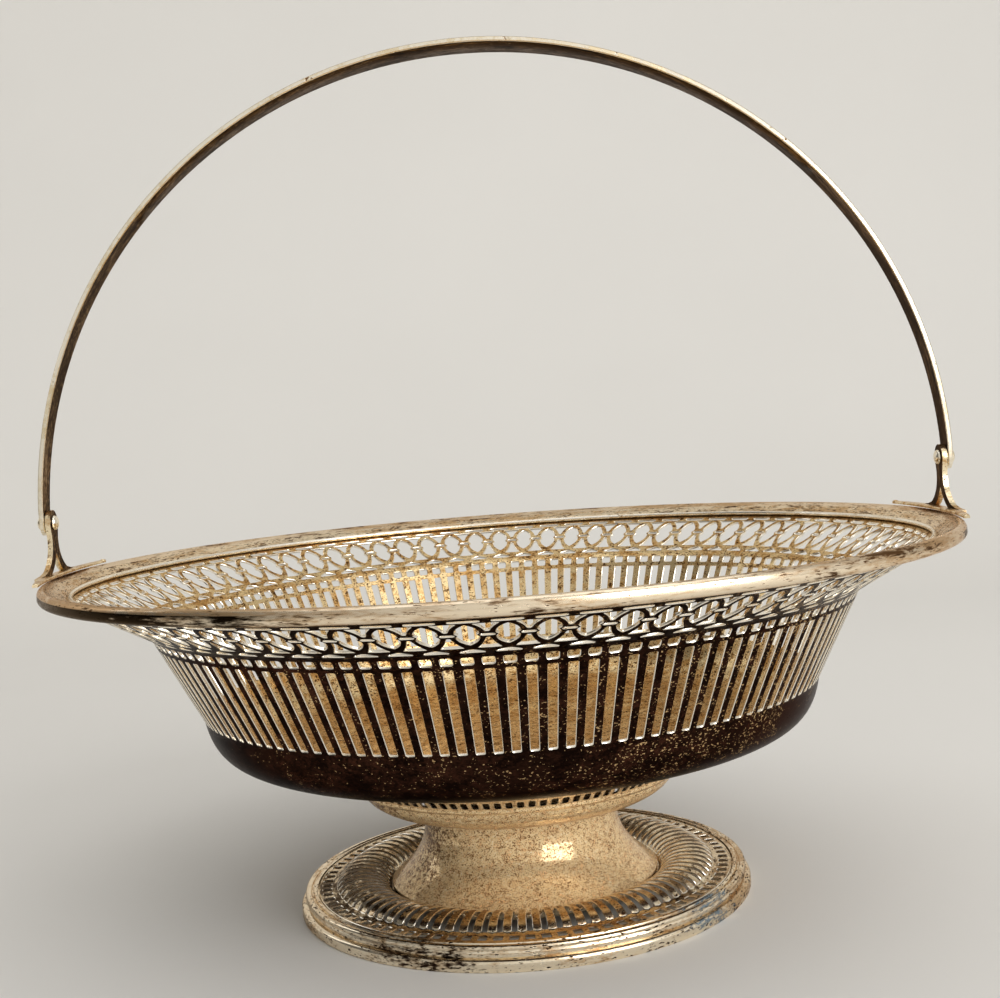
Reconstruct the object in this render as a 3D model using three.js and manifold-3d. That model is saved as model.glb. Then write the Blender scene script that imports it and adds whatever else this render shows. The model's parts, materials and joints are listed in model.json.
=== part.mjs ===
// A round pierced basket of silver plated metal, on a trumpet foot, with a swing handle on two lugs.
// Millimetres, +Z up. The origin is the centre of the foot, on the surface that the basket stands on.
// The handle turns on two pivots above the rim, one at +X and one at -X.
import * as THREE from 'three';
import { mergeVertices } from 'three/addons/utils/BufferGeometryUtils.js';
import Module from 'manifold-3d';

const wasm = await Module();
wasm.setup();

// Metal sheet, and the gap that is kept where pieces are soldered or turn on each other
const bowlSheet = 1.0;
const footSheet = 1.0;
const seam = 0.3;

// Foot border: the stepped moulding that the basket stands on
const footRadius = 70.9;
const footBorderWidth = 6.5;
const footStepHeight = 3.8;
const footStepChamfer = 1.1;
const footBeadInset = 2.5;
const footBeadSize = 0.7;
const footBeadCove = 0.4;
const footBeadRise = 0.2;
const footBeadRoundness = 1.1;
const footRebateWidth = 1.3;
const footRebateChamfer = 0.8;

// Stem: a spun trumpet between the foot ring and the bowl
const stemHeight = 38.3;
const neckRadius = 30.4;
const stemLipRadius = 42.1;
const stemLipHeight = 0.8;
const flareHeight = 19.0;
const flarePower = 2.2;

// Pierced foot ring: inner flange under the stem's lip, rolled arch with radial slots, flat ledge
const ledgeRise = 2.6;
const valleyDrop = 1.4;
const crestRise = 3.4;
const flangeOverlap = 2.5;
const archInnerGap = 1.3;
const archOuterInset = 11.6;
const archCrestRatio = 0.541;
const footSlotCount = 88;
const footSlotWidth = 1.5;

// Collar: the moulded ring round the top of the stem
const collarRadius = 56.0;
const collarLipWidth = 1.4;
const collarLipDrop = 0.5;
const collarBandTaper = 4.8;
const collarBandHeight = 4.4;
const collarBeadSize = 0.5;
const collarCoveInset = 1.8;
const collarCoveDrop = 1.2;
const collarHeight = 13.6;
const collarSheet = 0.9;

// Rim border: the moulding that hooks over the edge of the bowl
const rimRadius = 140.0;
const rimTopAboveSeat = 3.5;
const rimEdgeChamfer = 0.9;
const rimUnderChamfer = 1.0;
const rimLipOverhang = 0.9;
const rimLipThickness = 0.9;
const rimLipChamfer = 0.4;

// Bowl, from the edge inward: the seat under the rim border, pierced brim, slotted wall, plain pan
const seatInset = 2.8;
const seatWidth = 6.3;
const seatRise = 1.3;
const brimReach = 21.8;
const brimRise = 12.4;
const wallTaper = 14.0;
const wallHeight = 27.5;
const panHeight = 20.9;
const panFloorInset = 2.0;
const shoulderRatio = 0.813;
const shoulderAngle = 10.0;
const floorRatio = 0.706;
const floorAngle = 12.0;
const slotCount = 132;
const slotWidth = 2.6;
const slotTopDrop = 3.4;
const archCount = 80;

// Piercing of the brim, measured down the slope from its upper edge
const brimTopMargin = 4.2;
const ovalWidth = 5.4;
const ovalHeight = 12.6;
const ovalShoulder = 3.2;
const spandrelWidth = 4.6;
const upperSpandrelHeight = 4.2;
const lowerSpandrelHeight = 5.8;
const tieHeight = 5.2;

// Lugs
const lugInset = 0.6;
const lugThickness = 1.6;
const pivotAboveRim = 16.8;
const lugHeadRadius = 4.0;
const lugNeckHalfWidth = 2.8;
const lugNeckHeight = 9.6;
const lugSweepHeight = 4.2;
const lugForkHeight = 7.8;
const lugForkHalfWidth = 8.4;
const lugForkCurveHalfWidth = 3.2;
const lugForkCurveHeight = 3.8;
const lugFootHalfWidth = 19.0;
const saddleHalfAngle = 15.5;
const saddleThickness = 1.0;
const saddleWidth = 3.6;
const saddleOverhang = 0.1;

// Handle: a strap with a flat inner face and a crowned outer face
const handleRise = 140.4;
const handleSpringDrop = 3.3;
const handleEdge = 1.5;
const handleCrown = 0.6;
const handleCrownFade = 12;
const handleHeadMargin = 0.2;
const handleEndWidth = 7.8;
const handleTopWidth = 15.0;
const handleSteps = 40;

// Rivets
const rivetRadius = 1.3;
const rivetHeadOverhang = 1.0;
const rivetHeadHeight = 1.3;

// Radii that follow, from the rim inward and from the foot's edge inward
const seatRadius = rimRadius - seatInset;
const brimRadius = seatRadius - seatWidth;
const rimLipRadius = brimRadius - rimLipOverhang;
const bendRadius = brimRadius - brimReach;
const wallFootRadius = bendRadius - wallTaper;
const panFloorRadius = collarRadius - panFloorInset;
const collarBeadRadius = collarRadius - collarBandTaper;
const footBeadRadius = footRadius - footBeadInset;
const archOuterRadius = footRadius - archOuterInset;
const archInnerRadius = stemLipRadius + archInnerGap;
const crestRadius = archInnerRadius + (archOuterRadius - archInnerRadius) * archCrestRatio;
const flangeRadius = stemLipRadius - flangeOverlap;
const lugInnerX = rimRadius - lugInset;
const lugOuterX = lugInnerX + lugThickness;
const saddleOuterRadius = lugOuterX + saddleOverhang;
const handleInnerX = lugOuterX + seam;
const rivetHeadRadius = rivetRadius + rivetHeadOverhang;

// Heights that follow, from the foot up
const ledgeHeight = footStepHeight + ledgeRise;
const valleyHeight = ledgeHeight - valleyDrop;
const crestHeight = ledgeHeight + crestRise;
const stemFoot = valleyHeight + footSheet / 2 + seam;
const stemTop = stemFoot + stemHeight;
const floorHeight = stemTop + seam + bowlSheet / 2;
const wallFootHeight = floorHeight + panHeight;
const bendHeight = wallFootHeight + wallHeight;
const brimHeight = bendHeight + brimRise;
const seatHeight = brimHeight + seatRise;
const rimHeight = seatHeight + rimTopAboveSeat;
const pivotHeight = rimHeight + pivotAboveRim;

const turn = Math.PI * 2;
const degrees = Math.PI / 180;
const rounding = 1e-9;

// Closed mesh with shared vertices and without the triangles that merging has flattened
function closed(geometry) {
  geometry.deleteAttribute('normal');
  geometry.deleteAttribute('uv');
  const joined = mergeVertices(geometry, 1e-4);
  const kept = [];
  const index = joined.getIndex().array;
  for (let i = 0; i < index.length; i += 3) {
    const [a, b, c] = [index[i], index[i + 1], index[i + 2]];
    if (a !== b && b !== c && c !== a) {
      kept.push(a, b, c);
    }
  }
  joined.setIndex(kept);
  return joined;
}

// Section of [radius, height] points, turned about the Z axis
function turned(section, segments) {
  const points = section.map(([radius, height]) => new THREE.Vector2(radius, height));
  const geometry = new THREE.LatheGeometry(points, segments);
  geometry.rotateX(Math.PI / 2);
  return closed(geometry);
}

function toSolid(geometry) {
  const mesh = closed(geometry);
  return new wasm.Manifold(new wasm.Mesh({
    numProp: 3,
    vertProperties: new Float32Array(mesh.getAttribute('position').array),
    triVerts: new Uint32Array(mesh.getIndex().array),
  }));
}

function fromSolid(solid) {
  const mesh = solid.getMesh();
  const geometry = new THREE.BufferGeometry();
  geometry.setAttribute('position', new THREE.BufferAttribute(mesh.vertProperties, 3));
  geometry.setIndex(new THREE.BufferAttribute(mesh.triVerts, 1));
  return geometry;
}

// Sections of equal point count, one after the other, skinned and closed with a fan at each end.
// Seen from ahead of the sweep, the points of a section run anticlockwise.
function swept(sections) {
  const size = sections[0].length;
  const positions = sections.flat().flatMap((point) => [point.x, point.y, point.z]);
  const index = [];
  for (let s = 0; s < sections.length - 1; s += 1) {
    for (let k = 0; k < size; k += 1) {
      const a = s * size + k;
      const b = s * size + (k + 1) % size;
      index.push(a, b, b + size, a, b + size, a + size);
    }
  }
  const last = (sections.length - 1) * size;
  for (let k = 1; k < size - 1; k += 1) {
    index.push(0, k + 1, k, last, last + k, last + k + 1);
  }
  const geometry = new THREE.BufferGeometry();
  geometry.setAttribute('position', new THREE.Float32BufferAttribute(positions, 3));
  geometry.setIndex(index);
  return geometry;
}

// A sheet of revolution, laid out on a flat plan: `around` goes from 0 to 1 round the axis, and `place`
// counts the points of the profile, with fractions between them. Each triangle of the plan gives one
// facet on each face of the sheet, and each free edge of the plan a wall through the thickness.
class Sheet {
  constructor(profile, thickness) {
    this.faces = [this.offset(profile, -thickness / 2), this.offset(profile, thickness / 2)];
    this.plan = [];
    this.lookup = new Map();
    this.triangles = [];
  }

  offset(profile, distance) {
    const normals = profile.slice(1).map(([r, z], i) => {
      const along = new THREE.Vector2(r - profile[i][0], z - profile[i][1]).normalize();
      return new THREE.Vector2(-along.y, along.x);
    });
    return profile.map(([r, z], i) => {
      const before = normals[Math.max(i - 1, 0)];
      const after = normals[Math.min(i, normals.length - 1)];
      const mitre = before.clone().add(after).normalize();
      const reach = distance / mitre.dot(before);
      return [r + mitre.x * reach, z + mitre.y * reach];
    });
  }

  // Radius and height on one face, at a place of the profile
  at(place, face) {
    const profile = this.faces[face];
    const start = Math.min(Math.floor(place), profile.length - 2);
    const share = place - start;
    return [0, 1].map((k) => profile[start][k] * (1 - share) + profile[start + 1][k] * share);
  }

  radius(place) {
    return (this.at(place, 0)[0] + this.at(place, 1)[0]) / 2;
  }

  vertex([around, place]) {
    const spot = this.radius(place) < 1e-6 ? 0 : around - Math.floor(around + rounding);
    const key = `${Math.round(spot * 1e7)} ${Math.round(place * 1e6)}`;
    if (!this.lookup.has(key)) {
      this.lookup.set(key, this.plan.length);
      this.plan.push([spot, place]);
    }
    return this.lookup.get(key);
  }

  triangle(a, b, c) {
    const area = (b[0] - a[0]) * (c[1] - a[1]) - (c[0] - a[0]) * (b[1] - a[1]);
    const corners = area > 0 ? [a, b, c] : [a, c, b];
    this.triangles.push(corners.map((corner) => this.vertex(corner)));
  }

  // The same cell round the sheet. Its points are [pitches from the cell's own line, place].
  cells(count, outline, holes = []) {
    const points = [outline, ...holes].flat();
    const rings = [outline, ...holes].map((ring) => ring.map(([u, v]) => new THREE.Vector2(u, v)));
    const faces = THREE.ShapeUtils.triangulateShape(rings[0], rings.slice(1));
    for (let i = 0; i < count; i += 1) {
      for (const face of faces) {
        this.triangle(...face.map((k) => [(points[k][0] + i) / count, points[k][1]]));
      }
    }
  }

  plainCells(count, from, to) {
    this.cells(count, [[0, from], [1, from], [1, to], [0, to]]);
  }

  // A band between two rings that may have different numbers of vertices. Where both rings are as far
  // round, the first one steps on, and `rounding` keeps that the same at every size of the basket.
  band(ringA, placeA, ringB, placeB) {
    const a = (k) => ringA[k % ringA.length] + Math.floor(k / ringA.length);
    const b = (k) => ringB[k % ringB.length] + Math.floor(k / ringB.length);
    let i = 0;
    let j = 0;
    while (i < ringA.length || j < ringB.length) {
      if (j === ringB.length || (i < ringA.length && a(i) + a(i + 1) <= b(j) + b(j + 1) + rounding)) {
        this.triangle([a(i), placeA], [a(i + 1), placeA], [b(j), placeB]);
        i += 1;
      } else {
        this.triangle([a(i), placeA], [b(j + 1), placeB], [b(j), placeB]);
        j += 1;
      }
    }
  }

  // A slot centred on the start of each pitch: only the bars between the slots are left
  bars(count, width, from, to) {
    const edge = (place) => width / 2 / (turn * this.radius(place) / count);
    this.cells(count, [[edge(from), from], [1 - edge(from), from], [1 - edge(to), to], [edge(to), to]]);
  }

  slotRing(count, width, place) {
    const edge = width / 2 / (turn * this.radius(place) / count);
    return Array.from({ length: count }, (_, i) => [(i + edge) / count, (i + 1 - edge) / count]).flat();
  }

  geometry() {
    const positions = [0, 1].flatMap((face) => this.plan.flatMap(([around, place]) => {
      const [radius, height] = this.at(place, face);
      return [radius * Math.cos(around * turn), radius * Math.sin(around * turn), height];
    }));
    const other = this.plan.length;
    const index = [];
    const free = new Map();
    for (const [a, b, c] of this.triangles) {
      index.push(a, b, c, a + other, c + other, b + other);
      for (const [p, q] of [[a, b], [b, c], [c, a]]) {
        if (!free.delete(`${q} ${p}`)) {
          free.set(`${p} ${q}`, [p, q]);
        }
      }
    }
    for (const [p, q] of free.values()) {
      index.push(q, p, p + other, q, p + other, q + other);
    }
    const geometry = new THREE.BufferGeometry();
    geometry.setAttribute('position', new THREE.Float32BufferAttribute(positions, 3));
    geometry.setIndex(index);
    return geometry;
  }
}

function evenRing(count, shift = 0) {
  return Array.from({ length: count }, (_, i) => (i + shift) / count);
}

// Foot border: a closed moulding. Its inner ledge carries the edge of the foot ring.
function makeFootBorder() {
  const innerRadius = footRadius - footBorderWidth;
  const rebate = innerRadius + footRebateWidth;
  const under = ledgeHeight - footSheet / 2 - seam;
  const top = ledgeHeight + footSheet / 2 + footBeadRise;
  const beadOuter = footBeadRadius + footBeadSize;
  return turned([
    [innerRadius, 0],
    [footRadius, 0],
    [footRadius, footStepHeight - footStepChamfer],
    [footRadius - footStepChamfer, footStepHeight],
    [beadOuter - footBeadCove, footStepHeight + footBeadCove],
    [beadOuter, top - footBeadRoundness],
    [footBeadRadius, top],
    [rebate + footRebateChamfer, top],
    [rebate, top - footRebateChamfer],
    [rebate, under],
    [innerRadius, under],
    [innerRadius, 0],
  ], 48);
}

// Foot ring: an inner flange under the stem's lip, then the slotted arch, then the ledge in the border
function makeFootRing() {
  const archSteps = 3;
  const arch = Array.from({ length: archSteps + 1 }, (_, i) => {
    const angle = Math.PI * (1 - i / archSteps);
    const outward = Math.cos(angle) > 0;
    const reach = outward ? archOuterRadius - crestRadius : crestRadius - archInnerRadius;
    const base = outward ? ledgeHeight : valleyHeight;
    return [crestRadius + reach * Math.cos(angle), base + (crestHeight - base) * Math.sin(angle)];
  });
  const edge = footRadius - footBorderWidth + footRebateWidth - seam;
  const sheet = new Sheet([[flangeRadius, valleyHeight], ...arch, [edge, ledgeHeight]], footSheet);
  const slots = (place) => sheet.slotRing(footSlotCount, footSlotWidth, place);
  const archStart = 1;
  const archEnd = archStart + archSteps;
  sheet.band(evenRing(footSlotCount / 2), 0, slots(archStart), archStart);
  for (let place = archStart; place < archEnd; place += 1) {
    sheet.bars(footSlotCount, footSlotWidth, place, place + 1);
  }
  sheet.band(slots(archEnd), archEnd, evenRing(footSlotCount), archEnd + 1);
  return sheet.geometry();
}

// Stem: its lip stands on the foot ring's flange, and its top meets the bowl
function makeStem() {
  const wall = footSheet / 2;
  const flareSteps = 5;
  const lipTop = stemFoot + stemLipHeight;
  const profile = [[stemLipRadius - wall, stemFoot]];
  for (let i = 0; i <= flareSteps; i += 1) {
    const down = 1 - i / flareSteps;
    const radius = neckRadius - wall + (stemLipRadius - neckRadius) * down ** flarePower;
    profile.push([radius, lipTop + flareHeight * (1 - down)]);
  }
  profile.push([neckRadius - wall, stemTop]);
  const sheet = new Sheet(profile, footSheet);
  for (let place = 0; place < profile.length - 1; place += 1) {
    sheet.plainCells(40, place, place + 1);
  }
  return sheet.geometry();
}

// Collar: a lip under the bowl, a sloping band, a bead, and a cove down to the stem
function makeCollar() {
  const top = floorHeight - bowlSheet / 2 - seam - collarSheet / 2;
  const beadLevel = top - collarBandHeight;
  const coveStart = collarBeadRadius - collarCoveInset;
  const coveTop = beadLevel - collarCoveDrop;
  const foot = top - collarHeight;
  const neck = neckRadius + seam + collarSheet / 2;
  const coveSteps = 3;
  const profile = [
    [collarRadius, top],
    [collarRadius - collarLipWidth, top - collarLipDrop],
    [collarBeadRadius + collarBeadSize, beadLevel + collarBeadSize],
    [collarBeadRadius, beadLevel - collarBeadSize],
  ];
  for (let i = 0; i <= coveSteps; i += 1) {
    const angle = (i / coveSteps) * Math.PI / 2;
    profile.push([
      coveStart - (coveStart - neck) * Math.sin(angle),
      foot + (coveTop - foot) * Math.cos(angle),
    ]);
  }
  const sheet = new Sheet(profile, collarSheet);
  for (let place = 0; place < profile.length - 1; place += 1) {
    sheet.plainCells(44, place, place + 1);
  }
  return sheet.geometry();
}

// Bowl: one pierced sheet, from the seat under the rim border down to the floor
function makeBowl() {
  const lean = shoulderAngle * degrees;
  const rise = floorAngle * degrees;
  const shoulderReach = panHeight * shoulderRatio;
  const floorReach = (wallFootRadius - panFloorRadius) * floorRatio;
  const pan = new THREE.CubicBezierCurve(
    new THREE.Vector2(wallFootRadius, wallFootHeight),
    new THREE.Vector2(
      wallFootRadius - shoulderReach * Math.sin(lean), wallFootHeight - shoulderReach * Math.cos(lean)),
    new THREE.Vector2(
      panFloorRadius + floorReach * Math.cos(rise), floorHeight + floorReach * Math.sin(rise)),
    new THREE.Vector2(panFloorRadius, floorHeight),
  ).getPoints(5);
  const profile = [
    [seatRadius, seatHeight],
    [brimRadius, brimHeight],
    [bendRadius, bendHeight],
    ...pan.map((point) => [point.x, point.y]),
    [0, floorHeight],
  ];
  const sheet = new Sheet(profile, bowlSheet);
  const brimStart = 1;
  const brimEnd = 2;
  const wallEnd = 3;
  const panCount = slotCount / 2;

  sheet.cells(archCount, [[-0.5, 0], [0.5, 0], [0.5, brimStart], [-0.5, brimStart]]);

  const slope = Math.hypot(brimRadius - bendRadius, brimRise);
  const down = (distance) => brimStart + distance / slope;
  const across = (width, place) => width * archCount / (turn * sheet.radius(place));
  const ovalTop = down(brimTopMargin);
  const ovalBottom = down(brimTopMargin + ovalHeight);
  const shoulders = [down(brimTopMargin + ovalShoulder), down(brimTopMargin + ovalHeight - ovalShoulder)];
  const oval = [
    [0, ovalTop],
    [across(ovalWidth / 2, shoulders[0]), shoulders[0]],
    [across(ovalWidth / 2, shoulders[1]), shoulders[1]],
    [0, ovalBottom],
    [-across(ovalWidth / 2, shoulders[1]), shoulders[1]],
    [-across(ovalWidth / 2, shoulders[0]), shoulders[0]],
  ];
  const middle = brimTopMargin + ovalHeight / 2;
  const upperPoint = down(middle - tieHeight / 2);
  const upperBase = down(middle - tieHeight / 2 - upperSpandrelHeight);
  const lowerPoint = down(middle + tieHeight / 2);
  const lowerBase = down(middle + tieHeight / 2 + lowerSpandrelHeight);
  const halfUpper = across(spandrelWidth / 2, upperBase);
  const halfLower = across(spandrelWidth / 2, lowerBase);
  const leftEdge = [[0, brimEnd], [0, lowerBase], [halfLower, lowerBase], [0, lowerPoint],
    [0, upperPoint], [halfUpper, upperBase], [0, upperBase], [0, brimStart]]
    .map(([u, v]) => [u - 0.5, v]);
  const rightEdge = leftEdge.map(([u, v]) => [-u, v]).reverse();
  sheet.cells(archCount, [...rightEdge, ...leftEdge], [oval]);

  const slotTop = brimEnd + slotTopDrop / wallHeight;
  const topRing = sheet.slotRing(slotCount, slotWidth, slotTop);
  sheet.band(evenRing(archCount, 0.5), brimEnd, topRing, slotTop);
  sheet.bars(slotCount, slotWidth, slotTop, wallEnd);
  sheet.band(sheet.slotRing(slotCount, slotWidth, wallEnd), wallEnd, evenRing(panCount), wallEnd + 1);
  for (let place = wallEnd + 1; place < profile.length - 2; place += 1) {
    sheet.plainCells(panCount, place, place + 1);
  }
  const floor = profile.length - 2;
  for (let i = 0; i < panCount; i += 1) {
    sheet.triangle([i / panCount, floor], [(i + 1) / panCount, floor], [(i + 0.5) / panCount, floor + 1]);
  }
  return sheet.geometry();
}

// Rim border: a moulding that hooks over the edge of the bowl's sheet
function makeRimBorder() {
  const slope = Math.atan2(seatRise, seatWidth);
  const aboveSheet = (bowlSheet / 2 + seam) / Math.cos(slope);
  const hook = seatRadius + bowlSheet / 2;
  const hookTop = seatHeight + aboveSheet + (hook - seatRadius) * Math.tan(slope);
  const under = seatHeight - bowlSheet;
  const lipUnder = brimHeight + aboveSheet;
  return turned([
    [rimLipRadius, lipUnder],
    [brimRadius, lipUnder],
    [hook, hookTop],
    [hook, under],
    [rimRadius - rimUnderChamfer, under],
    [rimRadius, under + rimUnderChamfer],
    [rimRadius, rimHeight - rimEdgeChamfer],
    [rimRadius - rimEdgeChamfer, rimHeight],
    [rimLipRadius + rimLipChamfer, lipUnder + rimLipThickness],
    [rimLipRadius, lipUnder + rimLipThickness - rimLipChamfer],
    [rimLipRadius, lipUnder],
  ], 72);
}

// Lug: a forked upright soldered to a crescent saddle on the rim, with a hole for the rivet.
// It is made at +X, with the Y axis along the rim.
function makeLug() {
  const foot = rimHeight + seam;
  const outline = new THREE.Shape();
  outline.moveTo(-lugForkHalfWidth, foot);
  outline.quadraticCurveTo(
    -lugForkCurveHalfWidth, foot + lugForkCurveHeight, 0, rimHeight + lugForkHeight);
  outline.quadraticCurveTo(
    lugForkCurveHalfWidth, foot + lugForkCurveHeight, lugForkHalfWidth, foot);
  outline.lineTo(lugFootHalfWidth, foot);
  outline.lineTo(lugFootHalfWidth, foot + saddleThickness);
  outline.bezierCurveTo(
    lugFootHalfWidth / 2, foot + saddleThickness,
    lugHeadRadius, rimHeight + lugSweepHeight,
    lugNeckHalfWidth, rimHeight + lugNeckHeight);
  outline.lineTo(lugHeadRadius, pivotHeight);
  outline.absarc(0, pivotHeight, lugHeadRadius, 0, Math.PI, false);
  outline.lineTo(-lugNeckHalfWidth, rimHeight + lugNeckHeight);
  outline.bezierCurveTo(
    -lugHeadRadius, rimHeight + lugSweepHeight,
    -lugFootHalfWidth / 2, foot + saddleThickness,
    -lugFootHalfWidth, foot + saddleThickness);
  outline.lineTo(-lugFootHalfWidth, foot);
  outline.closePath();
  const plate = new THREE.ExtrudeGeometry(outline, {
    depth: lugThickness, bevelEnabled: false, curveSegments: 5,
  });
  plate.applyMatrix4(new THREE.Matrix4().makeBasis(
    new THREE.Vector3(0, 1, 0), new THREE.Vector3(0, 0, 1), new THREE.Vector3(1, 0, 0)));
  plate.translate(lugInnerX, 0, 0);

  const saddleSteps = 10;
  const sections = Array.from({ length: saddleSteps + 1 }, (_, i) => {
    const share = (i / saddleSteps) * 2 - 1;
    const angle = share * saddleHalfAngle * degrees;
    const width = saddleWidth * (1 - 0.5 * share * share);
    const spot = (radius, height) => new THREE.Vector3(
      radius * Math.cos(angle), radius * Math.sin(angle), height);
    return [
      spot(saddleOuterRadius, foot), spot(saddleOuterRadius - width, foot),
      spot(saddleOuterRadius - width, foot + saddleThickness),
      spot(saddleOuterRadius, foot + saddleThickness),
    ];
  });
  return fromSolid(toSolid(plate).add(toSolid(swept(sections))).subtract(pivotBore(1)));
}

// Cutter for the hole that turns on the rivet, on the side given by `side`
function pivotBore(side) {
  const length = (lugThickness + seam + handleEdge + handleCrown) * 4;
  const bore = new THREE.CylinderGeometry(rivetRadius + seam, rivetRadius + seam, length, 16);
  bore.rotateZ(Math.PI / 2);
  bore.translate(side * lugOuterX, 0, pivotHeight);
  return toSolid(bore);
}

// Handle: an arch drawn about a centre just below the pivots. Its ends are straight where they lie on the
// lugs' heads, and each one ends in a rounded tongue below its pivot.
function makeHandle() {
  const straightTop = lugHeadRadius + handleHeadMargin;
  const springAngle = Math.asin((handleSpringDrop + straightTop) / handleRise);
  const springX = handleInnerX / Math.cos(springAngle);
  const springHeight = pivotHeight - handleSpringDrop;
  const arch = (share) => {
    const angle = springAngle + (Math.PI - 2 * springAngle) * share;
    const normal = new THREE.Vector3(
      Math.cos(angle) / springX, 0, Math.sin(angle) / handleRise).normalize();
    const rise = 1 - Math.abs(share * 2 - 1);
    return {
      spot: new THREE.Vector3(springX * Math.cos(angle), 0, springHeight + handleRise * Math.sin(angle)),
      normal,
      halfWidth: (handleEndWidth + (handleTopWidth - handleEndWidth) * rise) / 2,
      crown: handleCrown * Math.min(1, rise * handleCrownFade),
    };
  };
  const tongue = (side, turnDown) => ({
    spot: new THREE.Vector3(
      side * handleInnerX, 0, pivotHeight - handleEndWidth / 2 * Math.sin(turnDown)),
    normal: new THREE.Vector3(side, 0, 0),
    halfWidth: handleEndWidth / 2 * Math.cos(turnDown),
    crown: 0,
  });
  const tongueTurns = [80, 55, 28, 0].map((angle) => angle * degrees);
  const stations = [
    ...tongueTurns.map((angle) => tongue(1, angle)),
    ...Array.from({ length: handleSteps + 1 }, (_, i) => arch(i / handleSteps)),
    ...tongueTurns.toReversed().map((angle) => tongue(-1, angle)),
  ];
  const sections = stations.map(({ spot, normal, halfWidth, crown }) => {
    const point = (y, out) => spot.clone().addScaledVector(normal, out).setY(y);
    return [
      point(halfWidth, 0), point(-halfWidth, 0), point(-halfWidth, handleEdge),
      point(-halfWidth / 2, handleEdge + crown), point(halfWidth / 2, handleEdge + crown),
      point(halfWidth, handleEdge),
    ];
  });
  return fromSolid(toSolid(swept(sections)).subtract(pivotBore(1)).subtract(pivotBore(-1)));
}

// Rivet: a shank with a domed head at each end, made along +X
function makeRivet() {
  const innerSeat = lugInnerX - seam;
  const outerSeat = handleInnerX + handleEdge + seam;
  const dome = (seat, side) => [0, 30, 60, 90].map((angle) => [
    rivetHeadRadius * Math.cos(angle * degrees),
    seat + side * rivetHeadHeight * Math.sin(angle * degrees),
  ]);
  const tip = (points) => points.map(([r, x], i) => [i === points.length - 1 ? 0 : r, x]);
  const rivet = turned([
    ...tip(dome(innerSeat, -1)).reverse(),
    [rivetRadius, innerSeat],
    [rivetRadius, outerSeat],
    ...tip(dome(outerSeat, 1)),
  ], 14);
  rivet.rotateY(Math.PI / 2);
  rivet.translate(0, 0, pivotHeight);
  return rivet;
}

// Silver plate: bright where it is handled and cleaned, golden inside, brown black underneath
const finish = (color, roughness) => new THREE.MeshStandardMaterial({ color, roughness, metalness: 1 });

const basket = new THREE.Group();
function addPiece(name, geometry, material, half = 0) {
  const mesh = new THREE.Mesh(geometry, material);
  mesh.name = name;
  mesh.rotation.z = half * Math.PI;
  basket.add(mesh);
}

addPiece('foot_border', makeFootBorder(), finish('#b9a48a', 0.38));
addPiece('foot_ring', makeFootRing(), finish('#c3a884', 0.32));
addPiece('stem', makeStem(), finish('#a67f52', 0.30));
addPiece('collar', makeCollar(), finish('#8a6d4c', 0.35));
addPiece('bowl', makeBowl(), finish('#97774f', 0.33));
addPiece('rim_border', makeRimBorder(), finish('#cdbca3', 0.36));
addPiece('right_lug', makeLug(), finish('#c4ad8b', 0.34));
addPiece('left_lug', makeLug(), finish('#c4ad8b', 0.34), 1);
addPiece('handle', makeHandle(), finish('#a58a68', 0.30));
addPiece('right_rivet', makeRivet(), finish('#d2c2a6', 0.30));
addPiece('left_rivet', makeRivet(), finish('#d2c2a6', 0.30), 1);

export default basket;
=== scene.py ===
# %% [markdown]
# # A pierced silver basket
# The real one is a fruit or cake basket of silver plate. A spun bowl with a flared brim is pierced
# with rows of small openings, a moulded border stiffens its edge, and it stands on a trumpet foot with
# a pierced ring. A flat strap handle swings on two riveted lugs. This notebook builds each piece over
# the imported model, which gives the sizes and the places, and works in metres with Z up.

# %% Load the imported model
import json
import math

import bpy
from mathutils import Matrix, Vector


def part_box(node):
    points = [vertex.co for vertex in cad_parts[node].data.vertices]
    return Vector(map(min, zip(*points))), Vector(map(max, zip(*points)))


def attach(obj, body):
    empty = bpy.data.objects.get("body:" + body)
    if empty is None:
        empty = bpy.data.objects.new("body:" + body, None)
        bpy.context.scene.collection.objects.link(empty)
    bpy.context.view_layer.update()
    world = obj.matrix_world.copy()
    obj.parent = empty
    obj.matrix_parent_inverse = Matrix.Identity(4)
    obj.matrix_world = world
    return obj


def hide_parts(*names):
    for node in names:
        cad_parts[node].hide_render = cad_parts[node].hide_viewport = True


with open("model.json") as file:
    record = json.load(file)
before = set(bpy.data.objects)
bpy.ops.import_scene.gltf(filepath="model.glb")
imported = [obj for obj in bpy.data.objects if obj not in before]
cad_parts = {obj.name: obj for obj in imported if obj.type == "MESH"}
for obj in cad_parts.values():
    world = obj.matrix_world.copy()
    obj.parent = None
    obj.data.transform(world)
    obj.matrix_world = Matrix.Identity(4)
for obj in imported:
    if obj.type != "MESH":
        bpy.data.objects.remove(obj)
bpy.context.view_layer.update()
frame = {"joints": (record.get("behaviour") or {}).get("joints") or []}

# %% [markdown]
# ## Working in millimetres
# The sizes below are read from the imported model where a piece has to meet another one, and the rest are
# written in millimetres. Every piece is drawn as a metalworker would lay it out: a section to spin, or
# a flat blank to pierce and roll. Small helpers draw such outlines by extruding a vertex from point to
# point, as one does by hand in edit mode.

# %% Small helpers for edit mode
MM = 0.001


def deselect():
    bpy.ops.object.select_all(action="DESELECT")


def pick(piece):
    deselect()
    piece.select_set(True)
    bpy.context.view_layer.objects.active = piece


def enter_edit(piece):
    pick(piece)
    bpy.ops.object.mode_set(mode="EDIT")


def leave_edit():
    bpy.ops.object.mode_set(mode="OBJECT")


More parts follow.
